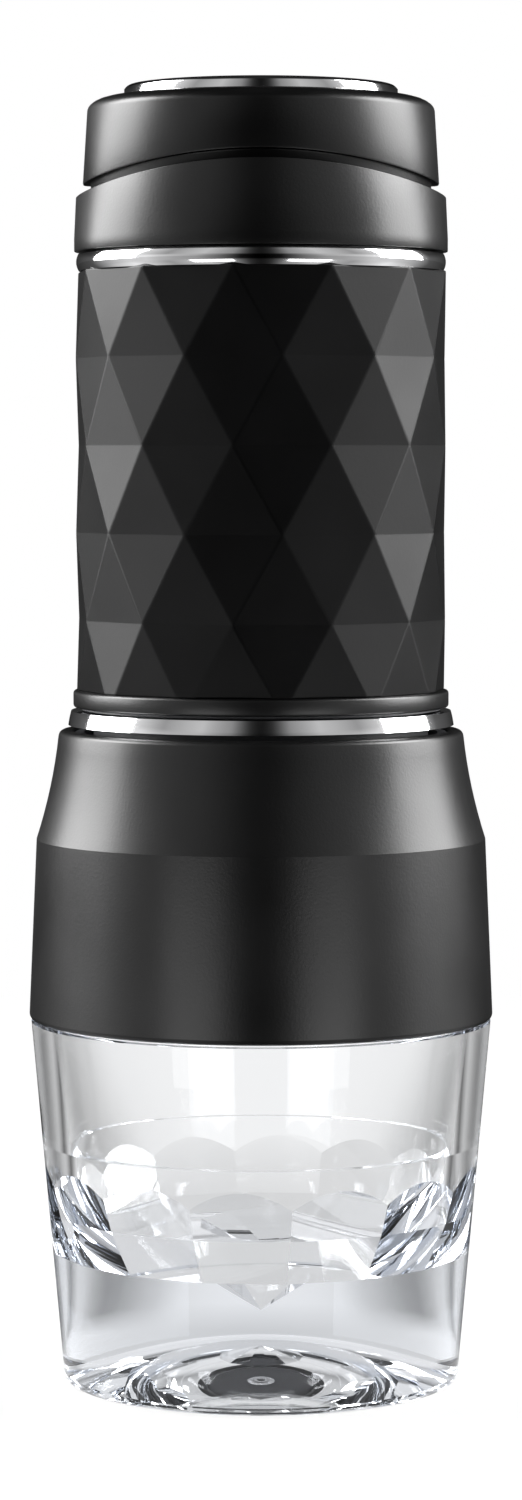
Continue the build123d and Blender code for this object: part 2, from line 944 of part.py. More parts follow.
def knob_screws():
    length = 5.8
    head_r = 1.8
    head = 1.5
    screw = pan_screw(knob_screw_r - pilot_fit, length, head_r, head)
    raised = Pos(0, 0, plunger_web_z) * Rot(180, 0, 0) * screw
    return group(around(raised, lug_count, knob_screw_circle, lug_start))


piston_z = (107.2, 114.0)
stud_r = 2.5
stud_z = 108.0
nut_top_z = 196.2


def pump_rod():
    return turned(
        (0, stud_z),
        (stud_r, stud_z),
        (stud_r, piston_z[1]),
        (rod_r, piston_z[1]),
        (rod_r, plunger_web_z),
        (stud_r, plunger_web_z),
        (stud_r, nut_top_z),
        (0, nut_top_z),
    )


def rod_nut():
    across_corners_r = 4.0
    hexagon = Plane.XY.offset(plunger_top_z) * RegularPolygon(across_corners_r, 6)
    nut = extrude(hexagon, nut_top_z - plunger_top_z)
    return nut - disc(stud_r + pilot_fit, plunger_top_z - 1, nut_top_z + 1)


piston_groove_r = 6.2
piston_groove_z = (109.6, 111.4)


def piston():
    radius = 7.6
    edge = 0.4
    bore = stud_r + pilot_fit
    return turned(
        (0, piston_z[0]),
        (radius - edge, piston_z[0]),
        (radius, piston_z[0] + edge),
        (radius, piston_groove_z[0]),
        (piston_groove_r, piston_groove_z[0]),
        (piston_groove_r, piston_groove_z[1]),
        (radius, piston_groove_z[1]),
        (radius, piston_z[1]),
        (bore, piston_z[1]),
        (bore, stud_z - pilot_fit),
        (0, stud_z - pilot_fit),
    )


def piston_seal():
    gap = 0.05
    lip = 0.5
    low = piston_groove_z[0] + gap
    high = piston_groove_z[1] - gap
    edge = cylinder_r - gap
    return turned(
        (piston_groove_r + gap, low),
        (edge - lip, low),
        (edge, low + lip),
        (edge, high - lip),
        (edge - lip, high),
        (piston_groove_r + gap, high),
    )


pieces = (
    cup, brew_housing, cup_seal, cup_grip_ring, brew_chamber, chamber_screws, filter_basket, filter_screen,
    basket_gasket, seal_plate, shower_screen, screen_screws, tank_gasket, outlet_nozzle, joint_trim_ring,
    water_tank, grip_sleeve, sleeve_band, upper_trim_ring, pump_cylinder, cylinder_seal, gland_cap, rod_bush,
    rod_seal, gland_screws, valve_block, inlet_seat, inlet_ball, outlet_ball, outlet_spring, delivery_nozzle,
    nozzle_o_ring, lock_plate, plate_screws, collar_retainer, retainer_screws, lock_collar, key_plate,
    collar_screws, return_spring, plunger_sleeve, knob_shell, knob_trim_ring, knob_cap, knob_screws, pump_rod,
    rod_nut, piston, piston_seal,
)

os.makedirs("parts", exist_ok=True)
for piece in pieces:
    export_step(piece(), f"parts/{piece.__name__}.step")
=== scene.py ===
import json
import math
import bmesh
import bpy
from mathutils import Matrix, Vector


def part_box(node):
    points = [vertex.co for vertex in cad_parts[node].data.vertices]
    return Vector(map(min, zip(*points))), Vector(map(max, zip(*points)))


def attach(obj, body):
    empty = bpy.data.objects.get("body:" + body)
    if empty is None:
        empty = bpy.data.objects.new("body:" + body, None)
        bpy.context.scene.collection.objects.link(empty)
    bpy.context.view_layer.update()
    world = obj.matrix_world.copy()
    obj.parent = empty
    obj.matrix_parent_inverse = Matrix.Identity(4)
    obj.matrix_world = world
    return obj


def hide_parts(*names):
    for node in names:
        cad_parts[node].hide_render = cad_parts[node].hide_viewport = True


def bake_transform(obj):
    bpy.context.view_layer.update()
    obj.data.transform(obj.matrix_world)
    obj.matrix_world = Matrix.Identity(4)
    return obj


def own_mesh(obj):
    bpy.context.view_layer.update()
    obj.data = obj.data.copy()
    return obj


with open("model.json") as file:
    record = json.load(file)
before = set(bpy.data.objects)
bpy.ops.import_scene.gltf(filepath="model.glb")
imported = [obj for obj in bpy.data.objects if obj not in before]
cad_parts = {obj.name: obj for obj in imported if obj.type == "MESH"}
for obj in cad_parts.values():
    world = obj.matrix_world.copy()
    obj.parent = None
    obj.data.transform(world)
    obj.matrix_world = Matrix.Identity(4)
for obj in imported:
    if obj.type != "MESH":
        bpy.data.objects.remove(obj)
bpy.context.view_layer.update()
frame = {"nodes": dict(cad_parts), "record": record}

mm = 0.001
steps = 144  # columns round a turned piece
mergeDistance = 0.002 * mm
nearby = 0.01 * mm  # points this close to a level or a radius count as on it
arcShare = 0.3  # how far from its corner the middle of a quarter round lies


def top(node):
    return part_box(node)[1][2]


def bottom(node):
    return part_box(node)[0][2]


def radius(node):
    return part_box(node)[1][0]


def clearSelection():
    if bpy.context.object and bpy.context.object.mode != "OBJECT":
        bpy.ops.object.mode_set(mode="OBJECT")
    bpy.ops.object.select_all(action="DESELECT")


def makeActive(piece):
    clearSelection()
    piece.select_set(True)
    bpy.context.view_layer.objects.active = piece


def applyModifier(piece, kind, **settings):
    makeActive(piece)
    bpy.ops.object.modifier_add(type=kind)
    modifier = piece.modifiers[-1]
    for key, value in settings.items():
        setattr(modifier, key, value)
    bpy.ops.object.modifier_apply(modifier=modifier.name)


def roundEdges(piece, width, segments=2, angle=28):
    applyModifier(piece, "BEVEL", width=width, segments=segments, limit_method="ANGLE",
                  angle_limit=math.radians(angle), harden_normals=False, miter_outer="MITER_ARC")


def putInOrder(piece):
    # the mesh operators leave the order of points and faces to chance, and close calls hang on it
    points = [[round(value / mergeDistance) * mergeDistance for value in vert.co]
              for vert in piece.data.vertices]
    order = sorted(range(len(points)), key=lambda index: points[index])
    rank = {index: place for place, index in enumerate(order)}
    faces = []
    for face in piece.data.polygons:
        corners = [rank[index] for index in face.vertices]
        first = corners.index(min(corners))
        faces.append(corners[first:] + corners[:first])
    piece.data = bpy.data.meshes.new(piece.name)
    piece.data.from_pydata([points[index] for index in order], [], sorted(faces))


def placeAtOrigin(piece):
    makeActive(piece)
    bpy.ops.object.transform_apply(location=True, rotation=True, scale=True)


def smooth(piece, angle=30):
    makeActive(piece)
    bpy.ops.object.shade_smooth_by_angle(angle=math.radians(angle))


def selectWhere(piece, test):
    # picks the points of the piece being edited whose place passes the test
    mesh = bmesh.from_edit_mesh(piece.data)
    shift = piece.matrix_world
    for part in (*mesh.faces, *mesh.edges, *mesh.verts):
        part.select = False
    for vert in mesh.verts:
        if test(shift @ vert.co):
            vert.select = True
    mesh.select_flush(True)
    bmesh.update_edit_mesh(piece.data)


def selectFaces(piece, test):
    # picks the faces of the piece being edited that pass the test
    bpy.ops.mesh.select_mode(type="FACE")
    bpy.ops.mesh.select_all(action="DESELECT")
    mesh = bmesh.from_edit_mesh(piece.data)
    for face in mesh.faces:
        face.select_set(test(face))
    bmesh.update_edit_mesh(piece.data)


def turnPiece(name, outline, closed=True):
    # a point is pulled along the outline, then spun round the upright axis
    clearSelection()
    bpy.ops.mesh.primitive_plane_add(size=mm, location=(outline[0][0], 0, outline[0][1]))
    piece = bpy.context.object
    piece.name = name
    bpy.ops.object.mode_set(mode="EDIT")
    bpy.ops.mesh.select_mode(type="VERT")
    bpy.ops.mesh.select_all(action="SELECT")
    bpy.ops.mesh.merge(type="CENTER")
    path = list(outline[1:]) + ([outline[0]] if closed else [])
    here = outline[0]
    for point in path:
        step = (point[0] - here[0], 0, point[1] - here[1])
        bpy.ops.mesh.extrude_vertices_move(TRANSFORM_OT_translate={"value": step})
        here = point
    bpy.ops.mesh.select_all(action="SELECT")
    bpy.ops.mesh.spin(steps=steps, angle=2 * math.pi, center=(0, 0, 0), axis=(0, 0, 1))
    bpy.ops.mesh.select_all(action="SELECT")
    bpy.ops.mesh.remove_doubles(threshold=mergeDistance)
    bpy.ops.mesh.normals_make_consistent(inside=False)
    placeAtOrigin(piece)
    return piece


def curve(start, middle, end, count):
    # smooth stretch of an outline that passes through the middle point half way along
    points = []
    for index in range(count + 1):
        t = index / count
        shares = (2 * (t - 0.5) * (t - 1), 4 * t * (1 - t), 2 * t * (t - 0.5))
        places = [tuple(share * value for value in point) for share, point in zip(shares, (start, middle, end))]
        points.append(tuple(sum(place[axis] for place in places) for axis in range(2)))
    return points


def dressPiece(piece, node, material=None):
    # the piece stands for one CAD node and takes that node's finish
    piece.data.materials.clear()
    piece.data.materials.append(material or finishes[slotOf[node]])
    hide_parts(node)
    print("finished", piece.name, len(piece.data.polygons), "faces")


def finishPiece(piece, node, body, material=None):
    dressPiece(piece, node, material)
    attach(piece, body)


def blankMaterial(name):
    material = bpy.data.materials.new(name)
    material.use_nodes = True
    nodes = material.node_tree.nodes
    nodes.clear()
    output = nodes.new("ShaderNodeOutputMaterial")
    shader = nodes.new("ShaderNodeBsdfPrincipled")
    material.node_tree.links.new(shader.outputs["BSDF"], output.inputs["Surface"])
    return material, nodes, material.node_tree.links, shader


noiseBand = (0.3, 0.7)  # nearly all of a noise texture lies in this range


def noise(nodes, links, scale, detail=4.0, stretch=(1, 1, 1)):
    place = nodes.new("ShaderNodeTexCoord")
    mapping = nodes.new("ShaderNodeMapping")
    mapping.inputs["Scale"].default_value = stretch
    texture = nodes.new("ShaderNodeTexNoise")
    texture.inputs["Scale"].default_value = scale
    texture.inputs["Detail"].default_value = detail
    links.new(place.outputs["Object"], mapping.inputs["Vector"])
    links.new(mapping.outputs["Vector"], texture.inputs["Vector"])
    return texture.outputs["Fac"]


def ramp(nodes, links, source, low, high, fromLow=noiseBand[0], fromHigh=noiseBand[1]):
    spread = nodes.new("ShaderNodeMapRange")
    spread.inputs["From Min"].default_value = fromLow
    spread.inputs["From Max"].default_value = fromHigh
    spread.inputs["To Min"].default_value = low
    spread.inputs["To Max"].default_value = high
    links.new(source, spread.inputs["Value"])
    return spread.outputs["Result"]


def tint(nodes, links, source, dark, light):
    colours = nodes.new("ShaderNodeValToRGB")
    for element, position, colour in zip(colours.color_ramp.elements, noiseBand, (dark, light)):
        element.position = position
        element.color = (*colour, 1)
    links.new(source, colours.inputs["Fac"])
    return colours.outputs["Color"]


def bump(nodes, links, source, shader, distance):
    relief = nodes.new("ShaderNodeBump")
    relief.inputs["Distance"].default_value = distance
    relief.inputs["Strength"].default_value = 1.0
    links.new(source, relief.inputs["Height"])
    links.new(relief.outputs["Normal"], shader.inputs["Normal"])


def numberMath(nodes, links, operation, first, second):
    node = nodes.new("ShaderNodeMath")
    node.operation = operation
    for socket, value in zip(node.inputs, (first, second)):
        if isinstance(value, (int, float)):
            socket.default_value = value
        else:
            links.new(value, socket)
    return node.outputs[0]


def vectorMath(nodes, links, operation, vector, second=None):
    node = nodes.new("ShaderNodeVectorMath")
    node.operation = operation
    links.new(vector, node.inputs[0])
    if second:
        node.inputs[1].default_value = second
    return node.outputs["Value" if operation == "LENGTH" else "Vector"]


def layered(nodes, links, colour, layers):
    # each layer takes over where its mask is on
    for mask, level in layers:
        layer = nodes.new("ShaderNodeMix")
        layer.data_type = "RGBA"
        factor, base, over = (socket for socket in layer.inputs
                              if socket.identifier in ("Factor_Float", "A_Color", "B_Color"))
        links.new(mask, factor)
        for socket, value in ((base, colour), (over, level)):
            if isinstance(value, tuple):
                socket.default_value = value
            else:
                links.new(value, socket)
        colour = next(socket for socket in layer.outputs if socket.identifier == "Result_Color")
    return colour


def plainPlastic(name, dark, light, roughLow, roughHigh, grain, depth, specular=0.5):
    # a broad cloud shifts tone and sheen, a fine grain roughens the surface
    cloudScale = 60.0
    material, nodes, links, shader = blankMaterial(name)
    shader.inputs["Specular IOR Level"].default_value = specular
    fine = noise(nodes, links, grain, 3.0)
    broad = noise(nodes, links, cloudScale, 2.0)
    links.new(tint(nodes, links, broad, dark, light), shader.inputs["Base Color"])
    links.new(ramp(nodes, links, broad, roughLow, roughHigh), shader.inputs["Roughness"])
    bump(nodes, links, fine, shader, depth)
    return material


steelDims = {
    "dark": (0.5456, 0.5456, 0.5544),
    "light": (0.62, 0.62, 0.63),
    "roughness": (0.18, 0.30),
    "scale": 900.0,
    "stretch": (1, 1, 0.1),
    "depth": 0.004 * mm,
}


def brushedSteel(name):
    dims = steelDims
    material, nodes, links, shader = blankMaterial(name)
    shader.inputs["Metallic"].default_value = 1.0
    lines = noise(nodes, links, dims["scale"], 4.0, dims["stretch"])
    links.new(tint(nodes, links, lines, dims["dark"], dims["light"]), shader.inputs["Base Color"])
    links.new(ramp(nodes, links, lines, *dims["roughness"]), shader.inputs["Roughness"])
    bump(nodes, links, lines, shader, dims["depth"])
    return material


plateDims = {
    "dark": (0.80, 0.80, 0.81),
    "light": (0.86, 0.86, 0.87),
    "roughness": (0.05, 0.09),
    "scale": 120.0,
}


def brightPlate(name):
    dims = plateDims
    material, nodes, links, shader = blankMaterial(name)
    shader.inputs["Metallic"].default_value = 1.0
    cloud = noise(nodes, links, dims["scale"], 3.0)
    links.new(tint(nodes, links, cloud, dims["dark"], dims["light"]), shader.inputs["Base Color"])
    links.new(ramp(nodes, links, cloud, *dims["roughness"]), shader.inputs["Roughness"])
    return material


clearDims = {
    "depthTint": (0.10, 0.22, 0.42, 1),
    "density": 3.2,
    "refraction": 1.49,
    "dark": (0.985, 0.99, 0.995),
    "light": (0.995, 0.996, 0.998),
    "roughness": (0.0, 0.012),
    "scale": 40.0,
}


def clearPlastic(name):
    dims = clearDims
    material, nodes, links, shader = blankMaterial(name)
    depth = nodes.new("ShaderNodeVolumeAbsorption")
    depth.inputs["Color"].default_value = dims["depthTint"]
    depth.inputs["Density"].default_value = dims["density"]
    output = next(node for node in nodes if node.type == "OUTPUT_MATERIAL")
    links.new(depth.outputs["Volume"], output.inputs["Volume"])
    shader.inputs["Transmission Weight"].default_value = 1.0
    shader.inputs["IOR"].default_value = dims["refraction"]
    cloud = noise(nodes, links, dims["scale"], 2.0)
    links.new(tint(nodes, links, cloud, dims["dark"], dims["light"]), shader.inputs["Base Color"])
    links.new(ramp(nodes, links, cloud, *dims["roughness"]), shader.inputs["Roughness"])
    return material


# plastics: dark and light colour, least and most roughness, scale and depth of the grain
finishes = {
    "clear_cup": clearPlastic("clearCup"),
    "satin_black": plainPlastic("satinBlack", (0.0010, 0.0010, 0.0011), (0.0018, 0.0018, 0.0020), 0.30, 0.35,
                                2600.0, 0.016 * mm),
    "grip_black": plainPlastic("gripBlack", (0.0010, 0.0010, 0.0011), (0.0018, 0.0018, 0.0020), 0.34, 0.40,
                               2200.0, 0.008 * mm, specular=0.17),
    "bright_chrome": brightPlate("brightChrome"),
    "inner_black": plainPlastic("innerBlack", (0.070, 0.072, 0.078), (0.100, 0.102, 0.110), 0.40, 0.50,
                                900.0, 0.010 * mm),
    "valve_grey": plainPlastic("valveGrey", (0.36, 0.37, 0.39), (0.44, 0.45, 0.47), 0.35, 0.45,
                               900.0, 0.008 * mm),
    "stainless": brushedSteel("stainless"),
    "seal_grey": plainPlastic("sealGrey", (0.10, 0.10, 0.11), (0.15, 0.15, 0.16), 0.55, 0.65,
                              1200.0, 0.010 * mm, specular=0.35),
}
slotOf = {part["node"]: part["material_slot"] for part in frame["record"]["subparts"]}
for nodeName, node in frame["nodes"].items():
    node.data.materials.clear()
    node.data.materials.append(finishes[slotOf[nodeName]])
print("finishes ready")


# the arch between knob and collar
archDims = {
    "archRadius": 94.4 * mm,  # high at front and back, low at the sides
    "gap": 1.45 * mm,
    "topZ": top("lock_collar") - 0.25 * mm,
    "wallGap": 0.1 * mm,  # parts a rim's outer points from its inner ones
}


def archHeight(x, gap):
    # both edges follow cylinders about one line, so the gap stays even
    centre = archDims["topZ"] - archDims["archRadius"]
    reach = archDims["archRadius"] + gap
    return centre + math.sqrt(reach ** 2 - x ** 2)


def raiseToArch(piece, isRim, gap, slope):
    # each column's rim points slide along the wall until they meet the arch
    makeActive(piece)
    bpy.ops.object.mode_set(mode="EDIT")
    mesh = bmesh.from_edit_mesh(piece.data)
    for vert in [vert for vert in mesh.verts if isRim(vert.co)]:
        reach = math.hypot(vert.co.x, vert.co.y)
        lift = archHeight(vert.co.x, gap) - vert.co.z
        pull = 1 - slope * lift / reach
        vert.co.x *= pull
        vert.co.y *= pull
        vert.co.z += lift
    bmesh.update_edit_mesh(piece.data)
    bpy.ops.object.mode_set(mode="OBJECT")


def rimTest(level, split, outside):
    # picks the rim points at one level, on one side of the radius between the two walls
    def isRim(place):
        return abs(place.z - level) < nearby and (math.hypot(place.x, place.y) > split) == outside
    return isRim


knobDims = {
    "skirtRadius": 27.9 * mm,
    "rimRadius": 26.9 * mm,
    "rimZ": 198.4 * mm,
    "shoulderMiddle": (25.1 * mm, 199.75 * mm),
    "shoulderRadius": 21.9 * mm,
    "topZ": 200.2 * mm,
    "recessRadius": 21.3 * mm,
    "recessZ": 199.0 * mm,
    "plateZ": 196.4 * mm,
    "skirtInner": 24.8 * mm,
    "skirtOuter": 26.4 * mm,
    "rimRise": 1.0 * mm,  # how far above the skirt's foot the outer wall starts, before it meets the arch
    "edge": 0.35 * mm,
}


def makeKnob():
    dims = knobDims
    skirtZ = bottom("knob_shell")
    rimStart = skirtZ + dims["rimRise"]
    slope = (dims["skirtRadius"] - dims["rimRadius"]) / (dims["rimZ"] - skirtZ)
    shoulder = curve((dims["rimRadius"], dims["rimZ"]), dims["shoulderMiddle"],
                     (dims["shoulderRadius"], dims["topZ"]), 6)
    outline = [(dims["skirtRadius"] - slope * dims["rimRise"], rimStart), *shoulder,
               (dims["recessRadius"], dims["topZ"]), (dims["recessRadius"], dims["recessZ"]),
               (0, dims["recessZ"]), (0, dims["plateZ"]), (dims["skirtInner"], dims["plateZ"]),
               (dims["skirtInner"], skirtZ), (dims["skirtOuter"], skirtZ), (dims["skirtOuter"], rimStart)]
    piece = turnPiece("knobShell", outline)
    split = dims["skirtOuter"] + archDims["wallGap"]
    raiseToArch(piece, rimTest(rimStart, split, True), archDims["gap"], slope)
    raiseToArch(piece, rimTest(rimStart, split, False), archDims["gap"], 0)
    roundEdges(piece, dims["edge"])
    smooth(piece)
    finishPiece(piece, "knob_shell", "plunger")


makeKnob()


collarDims = {
    "outer": 29.0 * mm,
    "topOuter": 28.55 * mm,
    "bore": 26.8 * mm,
    "seatRadius": 25.4 * mm,
    "webLow": 176.6 * mm,
    "webHigh": 178.4 * mm,
    "webBore": 21.3 * mm,
    "seatZ": 180.2 * mm,
    "footHeight": 2.0 * mm,
    "taper": 0.1 * mm,
    "rimRise": 1.0 * mm,
    "edge": 0.4 * mm,
}


def makeCollar():
    dims = collarDims
    low = bottom("lock_collar")
    rimStart = dims["seatZ"] + dims["rimRise"]
    outline = [(dims["outer"], low), (dims["outer"], low + dims["footHeight"]),
               (dims["outer"] - dims["taper"], rimStart), (dims["bore"], rimStart),
               (dims["bore"], dims["seatZ"]), (dims["seatRadius"], dims["seatZ"]),
               (dims["seatRadius"], dims["webHigh"]), (dims["webBore"], dims["webHigh"]),
               (dims["webBore"], dims["webLow"]), (dims["seatRadius"], dims["webLow"]),
               (dims["seatRadius"], low)]
    piece = turnPiece("lockCollar", outline)
    slope = (dims["outer"] - dims["topOuter"]) / (archDims["topZ"] - rimStart)
    split = dims["bore"] + archDims["wallGap"]
    raiseToArch(piece, rimTest(rimStart, split, True), 0, slope)
    raiseToArch(piece, rimTest(rimStart, split, False), 0, 0)
    roundEdges(piece, dims["edge"])
    smooth(piece)
    finishPiece(piece, "lock_collar", "collar")


makeCollar()


# bright rings: lean says how far the outer face stands in at its lower edge, middle and upper edge
ringDims = {
    "knobTrimRing": {"node": "knob_trim_ring", "body": "plunger", "inner": 19.4 * mm, "lift": 0,
                     "round": 0.6 * mm},
    "upperTrimRing": {"node": "upper_trim_ring", "body": "tank_body", "inner": 25.6 * mm, "lift": 0,
                      "lean": (0.4 * mm, 0, 0.3 * mm)},
    "jointTrimRing": {"node": "joint_trim_ring", "body": "joint_ring", "inner": 26.4 * mm, "lift": 0.3 * mm,
                      "lean": (0, 0.18 * mm, 0.45 * mm)},
}


def makeRing(name, dims):
    low = bottom(dims["node"]) + dims["lift"]
    high = top(dims["node"])
    inner = dims["inner"]
    outer = radius(dims["node"])
    if "round" in dims:
        shoulder = high - dims["round"]
        face = curve((outer, shoulder), ((inner + outer) / 2, high), (inner, shoulder), 10)
        outline = [(outer, low), *face, (inner, low)]
    else:
        levels = (low, (low + high) / 2, high)
        face = curve(*((outer - lean, level) for lean, level in zip(dims["lean"], levels)), 12)
        outline = [(inner, low), *face, (inner, high)]
    piece = turnPiece(name, outline)
    smooth(piece, 40)
    finishPiece(piece, dims["node"], dims["body"])


for ringName, ringDim in ringDims.items():
    makeRing(ringName, ringDim)


gripDims = {
    "corners": 12,
    "rowStep": 13.48 * mm,
    "facetRadius": 28.9 * mm,
    "bore": 25.6 * mm,
    "frontTurn": 6.5,  # degrees from the front to the nearest corner of the even rows
    "edge": 0.22 * mm,
}


def turnAll(angle):
    # the operator turns the other way when there is no window
    bpy.ops.transform.rotate(value=-angle, orient_axis="Z", center_override=(0, 0, 0))


def closeSleeve(piece, low, high, bore):
    # the ends are pulled in to the bore and the bore wall is bridged
    makeActive(piece)
    bpy.ops.object.mode_set(mode="EDIT")
    for level in (low, high):
        selectWhere(piece, lambda place: abs(place.z - level) < nearby)
        bpy.ops.mesh.extrude_edges_move(TRANSFORM_OT_translate={"value": (0, 0, 0)})
        mesh = bmesh.from_edit_mesh(piece.data)
        for vert in mesh.verts:
            if vert.select:
                reach = math.hypot(vert.co.x, vert.co.y)
                vert.co.x *= bore / reach
                vert.co.y *= bore / reach
        bmesh.update_edit_mesh(piece.data)
    bpy.ops.object.mode_set(mode="OBJECT")
    putInOrder(piece)
    bpy.ops.object.mode_set(mode="EDIT")
    selectWhere(piece, lambda place: abs(math.hypot(place.x, place.y) - bore) < nearby)
    bpy.ops.mesh.bridge_edge_loops()
    bpy.ops.mesh.select_all(action="SELECT")
    bpy.ops.mesh.normals_make_consistent(inside=False)
    bpy.ops.object.mode_set(mode="OBJECT")


def makeGrip():
    dims = gripDims
    high = top("grip_sleeve")
    low = bottom("grip_sleeve")
    halfTurn = math.pi / dims["corners"]
    firstCorner = math.radians(dims["frontTurn"] - 90) + halfTurn
    clearSelection()
    bpy.ops.mesh.primitive_circle_add(vertices=dims["corners"], radius=dims["facetRadius"], fill_type="NOTHING",
                                      location=(0, 0, high), rotation=(0, 0, firstCorner))
    piece = bpy.context.object
    piece.name = "gripSleeve"
    placeAtOrigin(piece)
    bpy.ops.object.mode_set(mode="EDIT")
    bpy.ops.mesh.select_all(action="SELECT")
    row = high
    while row > low + nearby:
        bpy.ops.mesh.extrude_edges_move(TRANSFORM_OT_translate={"value": (0, 0, -dims["rowStep"])})
        row -= dims["rowStep"]
        turnAll(halfTurn)
    bpy.ops.mesh.select_all(action="SELECT")
    bpy.ops.mesh.quads_convert_to_tris(quad_method="SHORTEST_DIAGONAL")
    bpy.ops.mesh.bisect(plane_co=(0, 0, low), plane_no=(0, 0, -1), clear_outer=True)
    bpy.ops.object.mode_set(mode="OBJECT")
    closeSleeve(piece, low, high, dims["bore"])
    putInOrder(piece)
    roundEdges(piece, dims["edge"], 2, 6)
    smooth(piece, 3)
    finishPiece(piece, "grip_sleeve", "tank_body")


makeGrip()


# band under the grip
bandDims = {
    "inner": 25.6 * mm,
    "flangeRadius": 28.1 * mm,
    "shelfZ": 107.5 * mm,
    "shadowGap": 0.35 * mm,  # shows as a dark line over the bright ring
    "edge": 0.45 * mm,
}


def makeBand():
    dims = bandDims
    low = bottom("sleeve_band") + dims["shadowGap"]
    high = top("sleeve_band")
    outer = radius("sleeve_band")
    outline = [(dims["flangeRadius"], low), (outer, low), (outer, high), (dims["inner"], high),
               (dims["inner"], dims["shelfZ"]), (dims["flangeRadius"], dims["shelfZ"])]
    piece = turnPiece("sleeveBand", outline)
    roundEdges(piece, dims["edge"], 3)
    smooth(piece)
    finishPiece(piece, "sleeve_band", "tank_body")


makeBand()


housingDims = {
    "breakRadius": 35.1 * mm,
    "breakZ": 85.2 * mm,
    "topRadius": 31.65 * mm,
    "crownDrop": 1.0 * mm,
    "openingRadius": 29.3 * mm,
    "openingDepth": 2.6 * mm,
    "coneMiddle": (32.95 * mm, 93.2 * mm),
    "wall": 2.2 * mm,
    "wallDrop": 0.4 * mm,
    "wallStep": 0.6 * mm,
    "footRound": 0.5 * mm,
    "webLow": 70.5 * mm,
    "webHigh": 73.0 * mm,
    "webBore": 28.3 * mm,
    "socketRadius": 34.6 * mm,
    "paintedLightRadius": 35.1 * mm,  # faces below this height and inside this radius get a painted-light grey instead of the satin black
    "paintedLightTop": 73.5 * mm,
    "paintedLightDark": (0.085, 0.087, 0.095),
    "paintedLightBright": (0.11, 0.112, 0.12),
    "paintedLightGrain": 300.0,
    "edge": 0.3 * mm,
}


def housingPlastic():
    # satin outside; the faces over the cup are painted a lighter grey, painted light that keeps the cup's
    # reflections of these shaded faces pale
    dims = housingDims
    material = finishes["satin_black"].copy()
    material.name = "housingBlack"
    nodes = material.node_tree.nodes
    links = material.node_tree.links
    shader = next(node for node in nodes if node.type == "BSDF_PRINCIPLED")
    outside = shader.inputs["Base Color"].links[0].from_socket
    place = nodes.new("ShaderNodeTexCoord").outputs["Object"]
    split = nodes.new("ShaderNodeSeparateXYZ")
    links.new(place, split.inputs["Vector"])
    reach = vectorMath(nodes, links, "LENGTH", vectorMath(nodes, links, "MULTIPLY", place, (1, 1, 0)))
    within = numberMath(nodes, links, "LESS_THAN", reach, dims["paintedLightRadius"])
    below = numberMath(nodes, links, "LESS_THAN", split.outputs["Z"], dims["paintedLightTop"])
    inside = numberMath(nodes, links, "MULTIPLY", within, below)
    grain = noise(nodes, links, dims["paintedLightGrain"], 3.0)
    # painted light: a lighter grey on the shaded faces over the cup
    grey = tint(nodes, links, grain, dims["paintedLightDark"], dims["paintedLightBright"])
    links.new(layered(nodes, links, outside, [(inside, grey)]), shader.inputs["Base Color"])
    return material


def makeHousing():
    dims = housingDims
    low = bottom("brew_housing")
    high = top("brew_housing")
    outer = radius("brew_housing")
    drop = dims["crownDrop"]
    crown = high - drop
    crownMiddle = (dims["topRadius"] - arcShare * drop, high - arcShare * drop)
    outline = [(outer - dims["footRound"], low), (outer, low + dims["footRound"]),
               *curve((dims["breakRadius"], dims["breakZ"]), dims["coneMiddle"], (dims["topRadius"], crown), 8),
               *curve((dims["topRadius"], crown), crownMiddle, (dims["topRadius"] - drop, high), 5)[1:],
               (dims["openingRadius"], high), (dims["openingRadius"], high - dims["openingDepth"]),
               (dims["breakRadius"] - dims["wall"], dims["breakZ"] - dims["wallDrop"]),
               (outer - dims["wallStep"] - dims["wall"], dims["webHigh"]), (dims["webBore"], dims["webHigh"]),
               (dims["webBore"], dims["webLow"]), (dims["socketRadius"], dims["webLow"]),
               (dims["socketRadius"], low)]
    piece = turnPiece("brewHousing", outline)
    roundEdges(piece, dims["edge"], 2, 20)
    smooth(piece, 8)
    finishPiece(piece, "brew_housing", "brew_head", housingPlastic())


makeHousing()


cupDims = {
    "domeRadius": 28.2 * mm,
    "domeZ": 9.5 * mm,
    "domeSteps": 24,
    "footRadius": 31.0 * mm,
    "footEdge": 1.0 * mm,
    "footLift": 0.10 * mm,  # the foot is a shallow cone that touches the table at its outer edge only
    "shoulderZ": 56.6 * mm,
    "spigotRadius": 34.2 * mm,
    "mouthRadius": 32.4 * mm,
    "rimRound": 0.6 * mm,
    "ledgeZ": 37.5 * mm,
    "ledgeRadius": 30.35 * mm,
    "wallTop": 29.0 * mm,
    "wallTaper": 0.05,  # how far the round wall leans in for each step down
    "sides": 12,
    "turn": 24.0,  # heading of the first facet in degrees
    # distance from the axis, height, and slope over the level of each ring of facets
    "wallRings": ((28.6 * mm, 33.5 * mm, 68.2), (25.76 * mm, 26.4 * mm, 57.0)),
    "floorZ": 19.5 * mm,
    "overcut": 6.0 * mm,  # the facets are cut this far below the floor before the floor is
    "pointRadius": 6.6 * mm,
    "pointZ": 13.5 * mm,
    "cutThreshold": 0.001 * mm,
}


